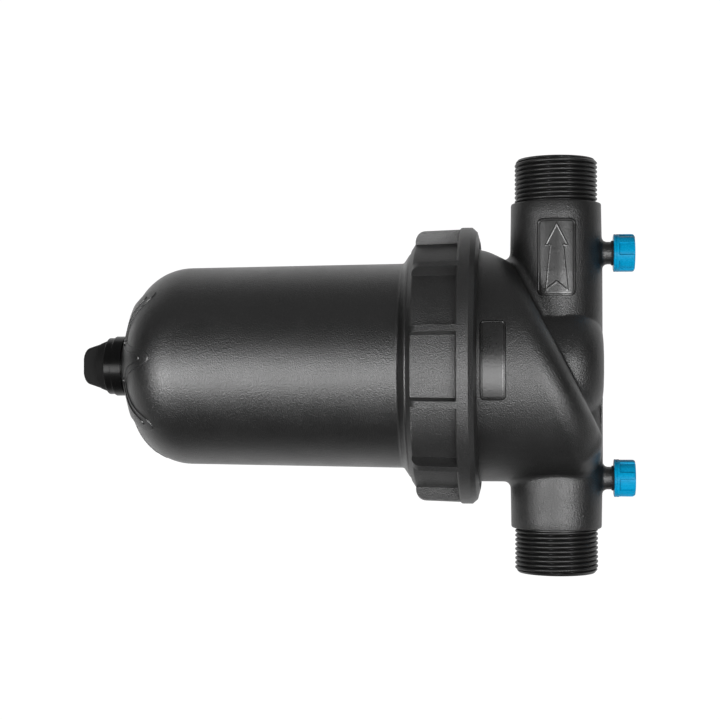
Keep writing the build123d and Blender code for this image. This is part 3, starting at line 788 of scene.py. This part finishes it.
# %% Draw the cylinders in under their threads
def shrink_to(radius, reach, chosen):
    """The factor that brings each chosen point from its reach to the radius."""
    return np.where(chosen, radius / np.maximum(reach, 1e-9), 1.0)


hopper_r = 59.2 * mm
spigot_end, spigot_match, spigot_core_r = 22.51 * mm, 0.02 * mm, 19.2 * mm
mouth_gap, mouth_r, mouth_tuck = 0.2 * mm, 22 * mm, 0.6 * mm
neck_from_x, neck_r, neck_match = -37.99 * mm, 61.5 * mm, 0.03 * mm

x, y, z = housing_places.T
reach = np.hypot(x, y)
end_gap = np.minimum(z, pipe_length - z)
on_spigot = (end_gap < spigot_end) & (np.abs(reach - pipe_crest_r) < spigot_match)
shrink = shrink_to(spigot_core_r, reach, on_spigot)
x, y = x * shrink, y * shrink
at_mouth = (end_gap < mouth_gap) & (reach < mouth_r)
z = z + np.where(at_mouth, np.where(z < axis_z, mouth_tuck, -mouth_tuck), 0.0)
neck_reach = np.hypot(y, z - axis_z)
on_neck = (x < neck_from_x) & (np.abs(neck_reach - neck_r) < neck_match)
shrink = shrink_to(hopper_r, neck_reach, on_neck)
housing_places = np.column_stack([x, y * shrink, axis_z + (z - axis_z) * shrink])
for where, chosen in (("spigots", on_spigot), ("mouths", at_mouth), ("neck", on_neck)):
    print("points moved at the", where, int(chosen.sum()))

# %% [markdown]
# ## The two plates
#
# On the pipe's front sits a plate with a raised arrow that shows the way of flow, and on the
# hopper a bare plate. Each is an insert in the mould, so a thin dark line runs round it. A
# plate is a rectangle with rounded corners that follows a round wall. Its grid lines are
# rings near the edge, which gives clean corners, and plain rows in the middle.

# %% A rounded rectangle's grid
def plate_lines(half, insets, step):
    """Grid lines over one direction: the insets from both edges, and even steps between."""
    inner = half - insets[-1]
    count = max(2, int(round(2 * inner / step)))
    middle = np.linspace(-inner, inner, count + 1)
    return np.concatenate([-half + insets[:-1], middle, half - insets[:-1][::-1]])


def plate_grid(half_u, half_v, corner, insets, step):
    """Flat places u and v, and the inset d of each from the plate's edge.

    A point of the sharp rectangle lies on the ring with inset d. The ring's corner has the
    radius c = corner - d, and a point beyond the corner's centre is moved onto the circle of
    that radius round it.
    """
    lines_u, lines_v = plate_lines(half_u, insets, step), plate_lines(half_v, insets, step)
    u, v = np.meshgrid(lines_u, lines_v, indexing="ij")
    inset = np.minimum(half_u - np.abs(u), half_v - np.abs(v))
    round_r = np.maximum(corner - inset, 0)
    core_u = np.clip(u, -(half_u - inset - round_r), half_u - inset - round_r)
    core_v = np.clip(v, -(half_v - inset - round_r), half_v - inset - round_r)
    off = np.hypot(u - core_u, v - core_v)
    share = np.where(off > 1e-12, round_r / np.maximum(off, 1e-12), 1.0)
    bend = (round_r > 0) & (off > 1e-12)
    u = np.where(bend, core_u + (u - core_u) * share, u)
    v = np.where(bend, core_v + (v - core_v) * share, v)
    return u, v, inset


def pillow(name, u, v, top, bottom, wall):
    """Close a plate: a top and a bottom over the same flat grid, joined along the edge."""
    edge = np.zeros(u.shape, dtype=bool)
    edge[[0, -1], :] = True
    edge[:, [0, -1]] = True
    upper = wall(u, v, top)
    lower = wall(u, v, np.where(edge, top, bottom))
    number = np.arange(u.size).reshape(u.shape)
    under = np.where(edge, number, number + u.size)
    places = np.vstack([upper.reshape(-1, 3), lower.reshape(-1, 3)])
    corners = np.vstack([grid_corners(number), grid_corners(under)[:, ::-1]])
    used, corners = np.unique(corners, return_inverse=True)
    return face_mesh(name, places[used], corners.reshape(-1, 4))


# %% The walls that the plates follow
arrow_z = 158.8 * mm
sleeve_r, sleeve_thins, sleeve_from_z, sleeve_length = 23.5 * mm, 0.6 * mm, 151.5 * mm, 36 * mm
bare_x, bare_turn = -30.9 * mm, np.radians(1.9)


def on_pipe(u, v, out):
    """Flat places wrap round the pipe, whose sleeve thins a little towards its end."""
    z = arrow_z + v
    radius = sleeve_r - sleeve_thins * np.clip((z - sleeve_from_z) / sleeve_length, 0, 1)
    turn = u / radius
    return np.stack([(radius + out) * np.sin(turn), -(radius + out) * np.cos(turn), z], axis=-1)


def on_hopper(u, v, out):
    """Flat places wrap round the hopper, with u along the filter."""
    turn = bare_turn + v / hopper_r
    radius = hopper_r + out
    return np.stack([bare_x + u, -radius * np.cos(turn), axis_z + radius * np.sin(turn)], axis=-1)


# %% The relief of the plates
arrow_corners = mm * np.array([
    [0.0, 16.3], [5.4, 5.9], [3.2, 5.9], [5.4, -16.4],
    [0.0, -12.2], [-5.4, -16.4], [-3.2, 5.9], [-5.4, 5.9],
])
line_half_width, line_height = 0.42 * mm, 0.24 * mm


def line_distance(u, v, corners):
    """How far each place is from a closed line of corners: the least distance to its sides."""
    start, stop = corners, np.roll(corners, -1, axis=0)
    along = stop - start
    to_u = u[..., None] - start[:, 0]
    to_v = v[..., None] - start[:, 1]
    share = (to_u * along[:, 0] + to_v * along[:, 1]) / (along**2).sum(axis=1)
    share = np.clip(share, 0, 1)
    return np.hypot(to_u - share * along[:, 0], to_v - share * along[:, 1]).min(axis=-1)


def arrow_relief(u, v):
    """A round ridge along the arrow's outline: half a cosine wave over the distance from it."""
    off = np.clip(line_distance(u, v, arrow_corners) / line_half_width, 0, 1)
    return line_height * (0.5 + 0.5 * np.cos(np.pi * off))


def plate_height(inset):
    """The plate from its edge inwards: a buried foot, a round lip, a narrow groove, then flat."""
    at = mm * np.array([0, 0.04, 0.14, 0.3, 0.5, 0.66, 0.76, 0.96, 1.06, 1.2])
    level = mm * np.array([-0.9, -0.1, 0.1, 0.2, 0.2, 0.08, -0.3, -0.3, -0.05, 0.0])
    return np.interp(inset, at, level)


# %% Both plates
plate_insets = mm * np.array([0, 0.04, 0.14, 0.3, 0.5, 0.66, 0.76, 0.96, 1.06, 1.2, 1.7, 2.3, 3.0])
arrow_size = (9.65 * mm, 19.2 * mm, 2.8 * mm)
bare_size = (6.1 * mm, 19.3 * mm, 2.3 * mm)
arrow_step, bare_step = 0.2 * mm, 0.8 * mm
plate_bottom = -1.2 * mm

u, v, inset = plate_grid(*arrow_size, plate_insets, arrow_step)
arrow_top = plate_height(inset) + arrow_relief(u, v)
arrow_mesh = pillow("flow_arrow_plate", u, v, arrow_top, plate_bottom, on_pipe)
add_piece(arrow_mesh, "housing", plate_plastic)

u, v, inset = plate_grid(*bare_size, plate_insets, bare_step)
bare_mesh = pillow("bare_plate", u, v, plate_height(inset), plate_bottom, on_hopper)
add_piece(bare_mesh, "housing", plate_plastic)

# %% [markdown]
# The plates' pockets could be left out, but then the housing's wall would show in the line
# round each plate. Two closed cutters, a little larger than the plates, take the wall away
# there. They are used once and then deleted.

# %% Cut the pockets and show the housing
pocket_gap, pocket_step = 0.5 * mm, 1.2 * mm
pocket_top, pocket_floor = 1.5 * mm, -0.7 * mm
pocket_insets = mm * np.array([0, 0.4, 0.9, 1.6, 2.4, 3.4])
cutters = []
for name, size, wall in (
    ("arrow_pocket", arrow_size, on_pipe),
    ("bare_pocket", bare_size, on_hopper),
):
    u, v, _ = plate_grid(*np.add(size, pocket_gap), pocket_insets, pocket_step)
    top = np.full(u.shape, pocket_top)
    cutters.append(add_object(name, pillow(name, u, v, top, pocket_floor, wall)))

raw_mesh = face_mesh("housing_raw", housing_places, housing_triangles, turn_out=False)
raw = add_object("housing_raw", raw_mesh)
for cutter in cutters:
    cut = raw.modifiers.new(cutter.name, "BOOLEAN")
    cut.operation = "DIFFERENCE"
    cut.solver = "EXACT"
    cut.object = cutter
graph = bpy.context.evaluated_depsgraph_get()
housing_mesh = bpy.data.meshes.new_from_object(raw.evaluated_get(graph))
housing_mesh.name = "housing_skin"
for helper in [raw, *cutters]:
    bpy.data.objects.remove(helper)
add_piece(housing_mesh, "housing", body_plastic, stands_for="housing")
